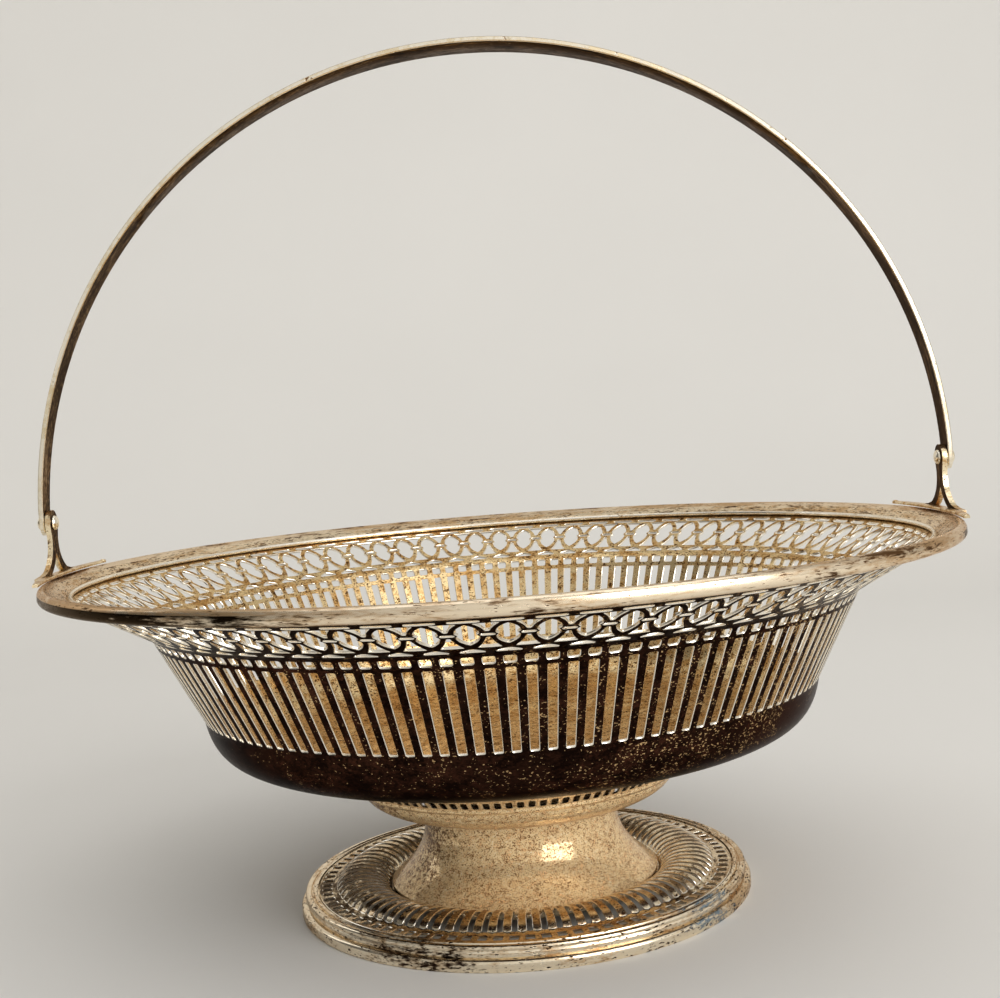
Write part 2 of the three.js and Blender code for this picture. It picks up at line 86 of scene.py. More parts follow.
def start_vertex(name, point):
    """A new object, left in edit mode, whose mesh is one vertex at the point."""
    deselect()
    bpy.ops.mesh.primitive_plane_add(size=MM, location=(0, 0, 0))
    piece = bpy.context.object
    piece.name = name
    bpy.ops.object.mode_set(mode="EDIT")
    bpy.ops.mesh.merge(type="CENTER")
    bpy.ops.transform.translate(value=point)
    return piece


def draw_on(points):
    """Extrude the selected vertex along the points; it already stands on the first."""
    for here, there in zip(points, points[1:]):
        step = tuple(b - a for a, b in zip(here, there))
        bpy.ops.mesh.extrude_region_move(TRANSFORM_OT_translate={"value": step})


def draw_loop(points):
    """A closed outline in the mesh that is being edited."""
    bpy.ops.mesh.primitive_plane_add(size=MM, location=(0, 0, 0))
    bpy.ops.mesh.merge(type="CENTER")
    bpy.ops.transform.translate(value=points[0])
    draw_on([*points, points[0]])


def merge_doubles(distance=0.002):
    bpy.ops.mesh.select_all(action="SELECT")
    bpy.ops.mesh.remove_doubles(threshold=distance * MM)


def draw_section(name, points, closed=True):
    """A new object in edit mode, whose points are joined by edges and all selected."""
    piece = start_vertex(name, points[0])
    draw_on([*points, points[0]] if closed else points)
    merge_doubles()
    bpy.ops.mesh.select_all(action="SELECT")
    return piece


def finish_edit():
    """Turn the faces outward and leave edit mode."""
    bpy.ops.mesh.select_all(action="SELECT")
    bpy.ops.mesh.normals_make_consistent(inside=False)
    leave_edit()


def weld(piece, distance):
    """Close the seams of a sheet that was joined or rolled from parts."""
    enter_edit(piece)
    merge_doubles(distance)
    finish_edit()


def apply_modifier(piece, kind, **settings):
    pick(piece)
    modifier = piece.modifiers.new(kind.lower(), kind)
    for key, value in settings.items():
        setattr(modifier, key, value)
    bpy.ops.object.modifier_apply(modifier=modifier.name)


def millimetres(*values):
    return tuple(value * MM for value in values)


def smooth(piece, angle=35):
    pick(piece)
    bpy.ops.object.shade_smooth_by_angle(angle=math.radians(angle))


def report(piece):
    piece.data.calc_loop_triangles()
    span = [round(edge / MM, 1) for edge in piece.dimensions]
    print(piece.name, "spans", span, "mm in", len(piece.data.loop_triangles), "triangles")


# %% [markdown]
# ## The camera
# The photograph was taken from a little above the rim, close to the basket, with the camera rolled by
# four degrees. Its place was worked out from the rim's ellipse and from the spacing of the openings
# at the front and at the back of the bowl, so it is written as a place and three angles.

# %% Camera
camera_place = Vector(millimetres(-0.96, -452.5, 149.6))
focal_share = 1.44155
pitch = 0.05578
yaw = 0.00391
roll = -0.0741
sensor_width = 36
forward = Vector((
    math.sin(yaw) * math.cos(pitch), math.cos(yaw) * math.cos(pitch), -math.sin(pitch)))
level_right = Vector((math.cos(yaw), -math.sin(yaw), 0))
level_up = level_right.cross(forward)
right = math.cos(roll) * level_right + math.sin(roll) * level_up
up = -math.sin(roll) * level_right + math.cos(roll) * level_up
bpy.ops.object.camera_add()
camera = bpy.context.object
camera.matrix_world = Matrix((right, up, -forward)).transposed().to_4x4()
camera.location = camera_place
camera.data.sensor_width = sensor_width
camera.data.lens = sensor_width * focal_share
camera.data.clip_start = 0.01
camera.data.clip_end = 20
bpy.context.scene.camera = camera
print("lens", round(camera.data.lens, 1), "mm")

# %% [markdown]
# ## Finishes
# The basket is brass, plated with silver and not polished for decades. Bare plate is a warm white. A thin
# sulphide film turns it straw and then brown, and a thick one black. Where the plate is pitted or worn
# through, dark spots show, and where the tarnish has flaked, bright ones do. One recipe makes all of these
# from six sizes of noise, and each finish says how much of the metal each layer covers. The finishes come
# before the modelling, because Solidify and Bevel below hand the cut edges to a finish of their own.

# %% Helpers for the finishes


def linear(code):
    """An sRGB hex colour as the linear values that a shader takes."""
    channels = [int(code[i:i + 2], 16) / 255 for i in (1, 3, 5)]
    return (*[c / 12.92 if c <= 0.04045 else ((c + 0.055) / 1.055) ** 2.4 for c in channels], 1)


def node(tree, kind, sockets=None, **settings):
    """Add a node, set its properties, and set or link its inputs by name or number."""
    made = tree.nodes.new(kind)
    for key, value in settings.items():
        setattr(made, key, value)
    for key, value in (sockets or {}).items():
        if isinstance(value, bpy.types.NodeSocket):
            tree.links.new(value, made.inputs[key])
        else:
            made.inputs[key].default_value = value
    return made


def start_material(name):
    """A new material with an empty node tree, and the Object coordinates in it."""
    material = bpy.data.materials.new(name)
    material.use_nodes = True
    tree = material.node_tree
    tree.nodes.clear()
    return material, tree, node(tree, "ShaderNodeTexCoord").outputs["Object"]


# %% The recipe for silver plate


def silver_plate(name, bare, film, tarnish, covers, patch=12.0, cloud=5.0, stretch=2.5, softness=0.04,
                 spot=0.5, roughness=(0.20, 0.36), metal=1.0, turned=True, fleck=None, fleck_drift=0.0,
                 stains_and_shade=(), seed=1.0):
    """Plate with a sulphide film. The covers are the shares of the surface that the film, the heavier
    tarnish, the dark pits and the bright flecks take. Patch, cloud and spot are sizes in mm, and stretch
    is how much longer they are along the way that the metal was spun or drawn. The roughness is that of
    the bare plate and that of the film. A stain is a place and a reach in mm, a colour and a cover; some
    finishes use it for real tarnish and others for painted shade."""
    material, tree, place = start_material(name)
    axes = node(tree, "ShaderNodeSeparateXYZ", {"Vector": place}).outputs
    flat = node(tree, "ShaderNodeCombineXYZ", {"X": axes["X"], "Y": axes["Y"]}).outputs["Vector"]
    from_axis = node(tree, "ShaderNodeVectorMath", {0: flat}, operation="LENGTH").outputs["Value"]
    # Round the axis, X and Y shrink and the radius is the noise's fourth dimension: it has no seam
    across = from_axis if turned else axes["Y"]

    noises = {}
    for layer, size, detail, share in (
            ("patches", patch, 4, 1 / stretch), ("clouds", cloud, 6, 1 / stretch),
            ("mottling", 2.2, 6, 1 / stretch), ("grain", 0.6, 3, 1 / stretch),
            ("spots", spot, 1.5, 1 / stretch), ("polish lines", 0.5, 3, 0.02)):
        shrink = (share, share, 1) if turned else (share, 1, share)
        shrunk = node(tree, "ShaderNodeVectorMath", {0: place, 1: shrink}, operation="MULTIPLY")
        moved = node(tree, "ShaderNodeVectorMath", {
            0: shrunk.outputs["Vector"], 1: (seed, seed * 0.7, seed * 1.3)}, operation="ADD")
        noises[layer] = node(tree, "ShaderNodeTexNoise", {
            "Vector": moved.outputs["Vector"], "W": across, "Scale": 1 / (size * MM),
            "Detail": detail, "Roughness": 0.6}, noise_dimensions="4D").outputs["Fac"]

    # Each coat follows a height that sums some of the noises. Flecks grow where there are no pits
    drift = node(tree, "ShaderNodeMath", {0: axes["X"], 1: fleck_drift, 2: 1.0}, operation="MULTIPLY_ADD")
    heights = {}
    for height, total, shares in (
            ("film", 0.0, (("patches", 0.40), ("mottling", 0.35), ("grain", 0.25))),
            ("tarnish", 0.0, (("clouds", 0.50), ("mottling", 0.20), ("grain", 0.30))),
            ("pits", 0.0, (("spots", 0.65), ("clouds", 0.25), ("patches", 0.10))),
            ("flecks", drift.outputs[0], (("spots", -0.65), ("clouds", -0.25), ("patches", -0.10)))):
        for layer, share in shares:
            total = node(tree, "ShaderNodeMath", {0: noises[layer], 1: share, 2: total},
                         operation="MULTIPLY_ADD").outputs[0]
        heights[height] = total
    film_cover, tarnish_cover, pit_cover, fleck_cover = covers
    coats = [("film", heights["film"], film_cover, softness * 1.5, film),
             ("tarnish", heights["tarnish"], tarnish_cover, softness, tarnish),
             ("pits", heights["pits"], pit_cover, 0.01, tarnish)]
    if fleck:
        coats.append(("flecks", heights["flecks"], fleck_cover, 0.01, fleck))
    # Each stain deepens the tarnish round a place: real tarnish on the border, the pan and the foot, painted
    # shade on the stem's and the ring's left and under the rim's edge
    for centre, reach, stain_and_shade, cover in stains_and_shade:
        away = node(tree, "ShaderNodeVectorMath", {0: place, 1: millimetres(*centre)},
                    operation="DISTANCE").outputs["Value"]
        lowered = node(tree, "ShaderNodeMapRange", {
            "Value": away, "From Min": reach * MM * 0.3, "From Max": reach * MM, "To Min": 0.0,
            "To Max": -0.25}).outputs["Result"]
        raised = node(tree, "ShaderNodeMath", {0: lowered, 1: heights["tarnish"]}, operation="ADD")
        coats.append(("stain_and_shade", raised.outputs[0], cover, 0.06, stain_and_shade))

    # The heights lie mostly between 0.33 and 0.67, so what rises above a coat's level is about its cover
    spread = 0.34
    colour = linear(bare)
    masks = {}
    for coat, height, cover, soft, over in coats:
        level = 0.5 + (0.5 - cover) * spread
        masks[coat] = node(tree, "ShaderNodeMapRange", {
            "Value": height, "From Min": level - soft, "From Max": level + soft},
            interpolation_type="SMOOTHSTEP").outputs["Result"]
        colour = node(tree, "ShaderNodeMix", {"Factor": masks[coat], 6: colour, 7: linear(over)},
                      data_type="RGBA").outputs[2]

    # The film is duller than the bare plate, and a pit is rough inside
    rough = node(tree, "ShaderNodeMapRange", {
        "Value": masks["film"], "To Min": roughness[0], "To Max": roughness[1]}).outputs["Result"]
    rough = node(tree, "ShaderNodeMath", {0: masks["pits"], 1: 0.2, 2: rough},
                 operation="MULTIPLY_ADD").outputs[0]
    normal = node(tree, "ShaderNodeBump", {
        "Height": noises["mottling"], "Strength": 0.30, "Distance": 0.06 * MM}).outputs["Normal"]
    normal = node(tree, "ShaderNodeBump", {
        "Height": noises["polish lines"], "Strength": 0.25, "Distance": 0.02 * MM,
        "Normal": normal}).outputs["Normal"]
    normal = node(tree, "ShaderNodeBump", {
        "Height": masks["pits"], "Strength": 0.5, "Distance": 0.05 * MM, "Normal": normal},
        invert=True).outputs["Normal"]
    # At a low angle one looks through more of the film, so the white gloss takes half of its colour
    gloss = [(1 + channel) / 2 for channel in linear(film)]
    shader = node(tree, "ShaderNodeBsdfPrincipled", {
        "Base Color": colour, "Roughness": rough, "Metallic": metal, "Specular Tint": gloss,
        "Normal": normal})
    node(tree, "ShaderNodeOutputMaterial", {"Surface": shader.outputs["BSDF"]})
    return material


def dress(piece, *materials):
    for material in materials:
        piece.data.materials.append(material)


# %% The basket's finishes
# Worn plate on the rim's border: warm white, with brown streaks that follow the moulding, and brown
# round the lugs
border_plate = silver_plate(
    "worn_silver_plate", "#f8e7cc", "#cfae86", "#65482e", (0.46, 0.30, 0.20, 0), patch=14, cloud=4,
    stretch=6, spot=0.35, roughness=(0.17, 0.32), seed=0.31, stains_and_shade=(
        ((-138, 0, 130), 60, "#8b6a45", 0.55), ((138, 0, 130), 60, "#8b6a45", 0.55)))
# The lower half of that border's edge: the same plate, with painted shade that makes it nearly black on
# the left and at the right end, where the underside of the border lies in shadow
shaded_under_edge_plate = silver_plate(
    "under_edge_plate_with_painted_shade", "#f8e7cc", "#cfae86", "#65482e", (0.46, 0.34, 0.22, 0), patch=14, cloud=4,
    stretch=6, spot=0.35, roughness=(0.17, 0.32), seed=0.31, stains_and_shade=(
        ((-118, -80, 104), 105, "#1a1108", 0.95), ((134, -30, 104), 45, "#1a1108", 0.85)))
# Pitted plate in the hollow of that border, where no polishing cloth reaches: rows of small brown pits
hollow_plate = silver_plate(
    "pitted_silver_plate", "#f9e8ca", "#cfad80", "#4d321d", (0.48, 0.30, 0.34, 0), patch=9, cloud=2.5,
    stretch=4, spot=0.38, roughness=(0.20, 0.36), seed=8.3)
# Golden plate inside the bowl: a thin film gives a straw colour, with fine brown mottling
golden_plate = silver_plate(
    "golden_tarnished_plate", "#ecd2a0", "#c4985c", "#4c2f18", (0.50, 0.30, 0.32, 0), patch=8, cloud=2.0,
    stretch=1.2, roughness=(0.26, 0.42), seed=1.7)
# Blackened plate outside the bowl: a thick film with flecks where it has flaked off, most of them on the
# right, but none on the pan's far right, where it is a plain red brown. Its near black is partly real
# tarnish and partly painted shade on the unlit outside of the bowl
blackened_and_shaded_plate = silver_plate(
    "blackened_and_shaded_silver_plate", "#4a2c20", "#2a1912", "#120a07", (0.70, 0.45, 0.05, 0.17), patch=24,
    cloud=7, stretch=1.5, softness=0.08, roughness=(0.22, 0.34), fleck="#d0ae7e", fleck_drift=0.5, seed=2.3,
    stains_and_shade=(((84, -30, 36), 68, "#3a241c", 0.85),))
# Cut edges, rubbed clean by cloths and painted brighter still as a highlight where light catches them:
# the brightest metal
rubbed_and_highlit_edge = silver_plate(
    "rubbed_and_highlit_cut_edge", "#fff9ec", "#f3e5cc", "#a5855c", (0.40, 0.12, 0.05, 0), patch=8, cloud=4,
    roughness=(0.20, 0.28), seed=3.1)
# Brown plate on the stem and the collar: an even brown film in fine specks, thick enough to scatter
# light like paint, and darker on the left, where the dark patch is painted shade. The plate between the
# specks still shines, so the window shows sharp on it
brown_plate_shaded_left = silver_plate(
    "brown_tarnished_plate_shaded_left", "#ffe0ab", "#f2c68f", "#7a5530", (0.40, 0.12, 0.37, 0.26), patch=1.4,
    cloud=1.2, stretch=1.2, softness=0.06, spot=0.28, roughness=(0.05, 0.34), metal=0.32,
    fleck="#fff0cc", seed=4.9, stains_and_shade=(((-38, -16, 28), 36, "#6a4a2a", 0.60),))
# Plate on the foot's ring: pale on the ridges, brown between them, and darkest on the left, where the dark
# patch is painted shade
ring_plate_shaded_left = silver_plate(
    "mottled_silver_plate_shaded_left", "#f0e1c3", "#c0a079", "#38261a", (0.46, 0.28, 0.26, 0), patch=10, cloud=4,
    stretch=2, roughness=(0.18, 0.32), seed=5.9, stains_and_shade=(((-46, -12, 8), 48, "#33271a", 0.70),))
# Plate on the foot's border, which knocks against things: heavy pitting low on the left, a blue film
# on the right
foot_plate = silver_plate(
    "knocked_silver_plate", "#faedd4", "#d0b28c", "#35251a", (0.42, 0.20, 0.26, 0), patch=12, cloud=2.4,
    stretch=3, roughness=(0.16, 0.30), seed=7.7, stains_and_shade=(
        ((-30, -64, -6), 50, "#2a1c15", 0.44), ((54, -47, 4), 24, "#8a9aa6", 0.45)))
# Plate that hands keep clean, on the handle's edges and outer face and on the rivets
handled_plate = silver_plate(
    "handled_silver_plate", "#fef6e4", "#e8d6b2", "#7a5c42", (0.36, 0.16, 0.09, 0), patch=16, cloud=5,
    stretch=3, roughness=(0.18, 0.30), turned=False, seed=5.3)
# Plate on the lugs, which no cloth gets round: golden brown, brightest where the edges stand out
lug_plate = silver_plate(
    "lug_plate", "#f9e8c4", "#c8a06a", "#5b3f27", (0.46, 0.26, 0.20, 0), patch=6, cloud=2.5,
    stretch=1.5, roughness=(0.20, 0.36), turned=False, seed=9.1)
# The handle's inner face, which nobody rubs: brown, lighter on the left
brown_inner_face = silver_plate(
    "brown_inner_face", "#76552f", "#3e2a13", "#1a1007", (0.60, 0.36, 0.15, 0.14), patch=14, cloud=5,
    stretch=3, roughness=(0.26, 0.42), turned=False, fleck="#b79a74", fleck_drift=-0.45, seed=6.7)
print("made", len(bpy.data.materials), "materials, with those of the packed model")

# %% [markdown]
# ## Sizes shared by the pieces
# The bowl is one sheet of metal. Its line is drawn once, as distances down the sheet from the top of
# the brim, and every row of openings is laid out along that line. Read it as the cut edge of the sheet,
# from the brim, over the bend, down the slotted wall and under the pan.

# %% The bowl's line
packed_half_sheet = 0.5
floor_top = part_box("bowl")[0].z / MM + packed_half_sheet
seat_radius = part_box("bowl")[1].x / MM - 0.1
brim_top = (130.9, floor_top + 60.8)
bend = (109.1, floor_top + 48.4)
wall_foot = (95.1, floor_top + 20.9)
floor_edge = (54.0, floor_top)
bend_round = 1.6
shoulder_pull, shoulder_slant = 17, math.radians(10)
floor_pull, floor_slant = 29, math.radians(12)


def between(a, b, share):
    return tuple(p + (q - p) * share for p, q in zip(a, b))


def bezier(a, b, c, d, steps):
    points = []
    for i in range(steps + 1):
        t = i / steps
        points.append(tuple(
            (1 - t) ** 3 * p + 3 * (1 - t) ** 2 * t * q + 3 * (1 - t) * t * t * r + t ** 3 * s
            for p, q, r, s in zip(a, b, c, d)))
    return points


shoulder = (wall_foot[0] - shoulder_pull * math.sin(shoulder_slant),
            wall_foot[1] - shoulder_pull * math.cos(shoulder_slant))
floor_rise = (floor_edge[0] + floor_pull * math.cos(floor_slant),
              floor_edge[1] + floor_pull * math.sin(floor_slant))
brim_length = math.dist(brim_top, bend)
wall_length = math.dist(bend, wall_foot)
before_bend = between(bend, brim_top, bend_round / brim_length)
after_bend = between(bend, wall_foot, bend_round / wall_length)
bowl_line = [brim_top, *bezier(before_bend, between(before_bend, bend, 0.6),
                               between(after_bend, bend, 0.6), after_bend, 6), wall_foot]
pan_line = bezier(wall_foot, shoulder, floor_rise, floor_edge, 26)
print("brim", round(brim_length, 1), "mm and wall", round(wall_length, 1), "mm along the sheet")


def along(line, reach):
    """Radius and height on a line, at a distance from its start."""
    for a, b in zip(line, line[1:]):
        step = math.dist(a, b)
        if reach <= step or b == line[-1]:
            return between(a, b, reach / step)
        reach -= step


def mirrored(side):
    """An outline from one side: its points and their mirror images, without doubles on the middle."""
    return [*side, *[(-x, y) for x, y in reversed(side) if x]]


# %% [markdown]
# ## Piercing the brim
# On the real basket the brim was stamped flat: a chain of tall ovals with three cornered openings
# between them, a thin slit where the straps cross, dashes under the border and lens shaped ones below.
# One cell of the pattern is drawn flat, its outlines are filled, and the cell is repeated eighty times.
# Drawing a cell keeps every opening crisp, where cutting eighty times with a boolean would not.

# %% One cell of the brim
brim_count = 80
brim_cell = 9.5
brim_cell_length = 23.0
oval_centre = 10.5
oval_reach = 6.3
oval_width = 2.85
cusp_depth = 0.8
cusp_reach = 0.75


def oval_half_width(y):
    """Half the width of an oval opening at y above its middle, with the small cusps of the knot."""
    share = min(1.0, abs(y) / oval_reach)
    full = oval_width * (1 - share ** 2.6) ** 0.9
    return full - cusp_depth * math.exp(-(y / cusp_reach) ** 2)


def oval_outline():
    levels = (-6.1, -5.5, -4.6, -3.5, -2.3, -1.4, -0.85, -0.45, 0, 0.45, 0.85, 1.4, 2.3, 3.5, 4.6, 5.5, 6.1)
    side = [(oval_half_width(y), y - oval_centre) for y in levels]
    return mirrored([(0, -oval_reach - oval_centre), *side, (0, oval_reach - oval_centre)])


def spandrel_side(base, point, half_width):
    """One side of a three cornered opening, from its middle point to the end of its base."""
    points = []
    for share in (0, 0.07, 0.2, 0.4, 0.6, 0.78, 0.92, 0.98):
        width = half_width * min(1.0, 0.1 + 0.3 * share ** 0.5 + 0.66 * share ** 2.2)
        points.append((width, point + (base - point) * share))
    return points


def slit_side():
    side = [(0, -0.5), (1.25, -0.5), (1.55, -0.36), (1.7, 0), (1.55, 0.36), (1.25, 0.5), (0, 0.5)]
    return [(x, y - oval_centre) for x, y in side]


def half_cell_side():
    """The cell's left edge, going up, with half of each opening that lies between two ovals."""
    lower_base, lower_point, upper_point, upper_base = -18.8, -12.4, -8.2, -3.4
    lower = spandrel_side(lower_base, lower_point, half_width=2.75)
    upper = spandrel_side(upper_base, upper_point, half_width=2.7)
    return [(0, -brim_cell_length), (0, lower_base), *reversed(lower), (0, lower_point), *slit_side(),
            (0, upper_point), *upper, (0, upper_base), (0, 0)]


def cell_outline():
    half = brim_cell / 2
    left = [(x - half, y) for x, y in half_cell_side()]
    top = [(half * k / 2, 0) for k in (-1, 0, 1)]
    right_edge = [(-x, y) for x, y in reversed(left)]
    bottom = [(-half * k / 2, -brim_cell_length) for k in (-1, 0, 1)]
    return [*left, *top, *right_edge, *bottom]


def rounded_box(width, height, corner, centre, steps=2):
    points = []
    for turn, (sx, sy) in enumerate(((1, 1), (-1, 1), (-1, -1), (1, -1))):
        for k in range(steps + 1):
            angle = math.pi / 2 * (turn + k / steps)
            points.append((
                centre[0] + sx * (width / 2 - corner) + corner * math.cos(angle),
                centre[1] + sy * (height / 2 - corner) + corner * math.sin(angle)))
    return points


def lens_outline(centre):
    points = [(-3.1, -0.95), (3.1, -0.95), (3.3, -0.6), (2.9, -0.2), (1.6, 0.45), (0.5, 0.95), (0, 1.05),
              (-0.5, 0.95), (-1.6, 0.45), (-2.9, -0.2), (-3.3, -0.6)]
    return [(x, y + centre) for x, y in points]


def flat(points):
    return [millimetres(x, y, 0) for x, y in points]


def fill_cell(name, outline, holes):
    piece = start_vertex(name, flat(outline)[0])
    draw_on([*flat(outline), flat(outline)[0]])
    for hole in holes:
        draw_loop(flat(hole))
    merge_doubles()
    bpy.ops.mesh.select_all(action="SELECT")
    bpy.ops.mesh.fill(use_beauty=True)
    finish_edit()
    return piece


def roll_cells(piece, line, count, width):
    """Repeat a cell along X and roll the strip, with Y down the line, round the Z axis."""
    apply_modifier(piece, "ARRAY", count=count, use_relative_offset=False, use_constant_offset=True,
                   constant_offset_displace=(width * MM, 0, 0), use_merge_vertices=True,
                   merge_threshold=0.002 * MM)
    for vertex in piece.data.vertices:
        turn = (vertex.co.x / MM / width) / count * 2 * math.pi
        radius, height = along(line, -vertex.co.y / MM)
        vertex.co = Vector((radius * math.cos(turn), radius * math.sin(turn), height)) * MM
    piece.data.update()


dash = rounded_box(width=6.9, height=1.0, corner=0.45, centre=(0, -2.05))
brim = fill_cell("bowl_brim", cell_outline(), [oval_outline(), dash, lens_outline(-21.0)])
print("one cell of the brim has", len(brim.data.polygons), "faces")
roll_cells(brim, bowl_line, brim_count, brim_cell)
report(brim)

# %% [markdown]
# ## The slotted wall
# Below the bend, 132 tall slots are cut through the wall, each one under a small rectangle with rounded
# corners. The cell is drawn in the same way. Its sides get extra points round the bend, because a
# triangle can't follow a curve between its corners.

# %% One cell of the wall
wall_count = 132
wall_cell = 4.9
wall_cell_start = 23.6
slot_top = 28.9
slot_foot = sum(math.dist(a, b) for a, b in zip(bowl_line, bowl_line[1:]))


def wall_outline():
    levels = (-wall_cell_start, -24.4, -25.1, -25.8, -26.6, -27.5, -28.2, -slot_top, -33, -38, -43,
              -48, -53, -slot_foot)
    half = wall_cell / 2
    left = [(-half, y) for y in reversed(levels)]
    right_edge = [(half, y) for y in levels]
    return [*left, (0, levels[0]), *right_edge, (0, levels[-1])]


def slot_outline():
    """The slot narrows a little towards its foot, where the real wall is smaller round."""
    top, foot = -slot_top, -slot_foot + 0.5
    middle = [(1.18, y) for y in (-33, -38, -43, -48, -53)]
    return mirrored([(0.95, top), (1.16, top - 0.22), *middle, (1.16, foot + 0.22), (0.95, foot)])


rectangle = rounded_box(width=2.8, height=2.4, corner=0.45, centre=(0, -26.2))
wall = fill_cell("bowl_wall", wall_outline(), [slot_outline(), rectangle])
roll_cells(wall, bowl_line, wall_count, wall_cell)
report(wall)

# %% [markdown]
# ## The pan, the seat and the joins
# The pan is plain spun metal, so its line is spun round the axis. The seat above the brim lies hidden
# under the border. The rows of cells have different counts, so the two edge loops between them are
# joined with the bridge operator. The whole bowl is then one sheet, and Solidify gives it the thickness
# whose bright cut edges line every opening.

# %% Spin the pan and join the bowl


def spin_section(name, section, steps, closed=False):
    """Draw a section of (radius, height) and spin it once round the Z axis."""
    piece = draw_section(name, [millimetres(radius, 0, height) for radius, height in section], closed)
    bpy.ops.mesh.spin(steps=steps, angle=2 * math.pi, center=(0, 0, 0), axis=(0, 0, 1))
    merge_doubles()
    finish_edit()
    return piece


def join(first, *others):
    pick(first)
    for other in others:
        other.select_set(True)
    bpy.ops.object.join()
    return bpy.context.object


pan = spin_section("bowl_pan", [*pan_line, (0, floor_top)], wall_count * 2)
seat_line = [(seat_radius - 0.2, brim_top[1] + 1.3), brim_top]
seat = spin_section("bowl_seat", seat_line, brim_count * 4)
bowl = join(brim, seat, wall, pan)
bowl.name = "bowl_sheet"
enter_edit(bowl)
merge_doubles(0.01)
bpy.ops.mesh.select_all(action="DESELECT")
leave_edit()
upper_join = along(bowl_line, brim_cell_length)[1] * MM
lower_join = along(bowl_line, wall_cell_start)[1] * MM
middle_join = (upper_join + lower_join) / 2
just_past_half = 0.51
for vertex in bowl.data.vertices:
    vertex.select = abs(vertex.co.z - middle_join) < abs(upper_join - lower_join) * just_past_half
for edge in bowl.data.edges:
    edge.select = all(bowl.data.vertices[i].select for i in edge.vertices)
enter_edit(bowl)
bpy.ops.mesh.select_mode(type="EDGE")
bpy.ops.mesh.bridge_edge_loops()
bpy.ops.mesh.select_mode(type="VERT")
finish_edit()
if min(bowl.data.polygons, key=lambda face: face.center.z).normal.z > 0:
    bowl.data.flip_normals()
report(bowl)


# %% [markdown]
# ## Thickness and cut edges
# The sheet is 0.8 mm thick. Solidify makes the inner face from the second material slot and the walls of
# the openings from the third, because on the real basket these cut edges are rubbed bright while the
# faces round them have gone brown; the third finish is also painted brighter, as a painted highlight
# where light catches the edges. A small bevel catches the light along them.

# %% Give the bowl its thickness


def thicken(piece, thickness, **slots):
    """Make a sheet into metal that is half as thick on each side of it."""
    apply_modifier(piece, "SOLIDIFY", thickness=thickness * MM, offset=0, use_even_offset=True, **slots)


def bevel_cut_edges(piece, slot):
    """Break the edges of the openings. The new faces take the material of the slot."""
    apply_modifier(piece, "BEVEL", width=0.18 * MM, segments=1, limit_method="ANGLE",
                   angle_limit=math.radians(60), use_clamp_overlap=False, material=slot)


dress(bowl, blackened_and_shaded_plate, golden_plate, rubbed_and_highlit_edge)
thicken(bowl, 0.8, material_offset=1, material_offset_rim=2)
bevel_cut_edges(bowl, 2)
report(bowl)

# %% [markdown]
# ## The rim border
# A moulded border is soldered over the edge of the sheet and makes it stiff. Its section is a fine inner
# bead, a broad face that rises outwards, and a rounded outer edge. The section is drawn as a closed
# loop and spun, which is how a turned or drawn moulding is best made, since it is the same all round.

# %% Rim border


def arc(centre, radius, start, end, steps):
    """Points on an arc in a section, with the angles in degrees."""
    points = []
    for i in range(steps + 1):
        angle = math.radians(start + (end - start) * i / steps)
        points.append((centre[0] + radius * math.cos(angle), centre[1] + radius * math.sin(angle)))
    return points


rim_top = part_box("rim_border")[1].z / MM
rim_section = [
    (131.4, rim_top - 4.15),
    *arc((130.85, rim_top - 3.45), 0.72, 240, 0, 8),
    (131.75, rim_top - 3.6),
    (132.0, rim_top - 3.25),
    (133.6, rim_top - 2.3),
    (136.2, rim_top - 1.15),
    *arc((138.2, rim_top - 1.7), 1.7, 100, 12, 6),
    *arc((138.3, rim_top - 2.6), 1.68, -12, -75, 4),
    (137.9, rim_top - 4.1),
    (137.75, rim_top - 2.6),
]
rim = spin_section("rim_moulding", rim_section, 240, closed=True)
dress(rim, border_plate, hollow_plate, rubbed_and_highlit_edge, shaded_under_edge_plate)
bead_edge = 131.6
hollow_edge = 136.5
hollow_foot = rim_top - 3.95
under_edge_top = rim_top - 2.0
# The faces low on the border's outer edge take the plate with painted shade
for polygon in rim.data.polygons:
    centre = polygon.center / MM
    radius = math.hypot(centre.x, centre.y)
    if centre.z > hollow_foot and radius < hollow_edge:
        # The fine bead takes the cut edges' finish, rubbed bright and with a painted highlight
        polygon.material_index = 2 if radius < bead_edge else 1
    elif centre.z < under_edge_top:
        polygon.material_index = 3
report(rim)

# %% [markdown]
# ## The pierced foot ring
# The foot's ring is a sheet too. It starts as a flat flange under the stem, rolls over an arch that is
# cut by radial slots, and ends in a flat ledge with one small rectangle for each slot. It is drawn as one
# cell, like the bowl's wall, and rolled along its own line.

# %% Foot ring
foot_count = 88
foot_cell = 3.9
ledge_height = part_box("foot_border")[1].z / MM - 0.7
valley_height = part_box("foot_ring")[0].z / MM + packed_half_sheet
arch_radius = 52.0
arch_inner_width = 8.6
arch_outer_width = 7.3
arch_height = 4.75
ring_edge = 65.3
arch_left = [(arch_radius - arch_inner_width * math.cos(a), valley_height + arch_height * math.sin(a))
             for a in (math.radians(8 + 82 * k / 9) for k in range(10))]
arch_right = [(arch_radius + arch_outer_width * math.sin(a),
               ledge_height + (valley_height + arch_height - ledge_height) * math.cos(a))
              for a in (math.radians(82 * k / 9) for k in range(1, 10))]
foot_line = [(39.9, valley_height), (42.6, valley_height), *arch_left, *arch_right,
             (60.2, ledge_height), (ring_edge, ledge_height)]
reaches = [0]
for a, b in zip(foot_line, foot_line[1:]):
    reaches.append(reaches[-1] + math.dist(a, b))
first_slot_reach = reaches[2] + 0.3
last_slot_reach = reaches[-3] - 0.1
print("the foot ring's sheet is", round(reaches[-1], 1), "mm wide before it is shaped")


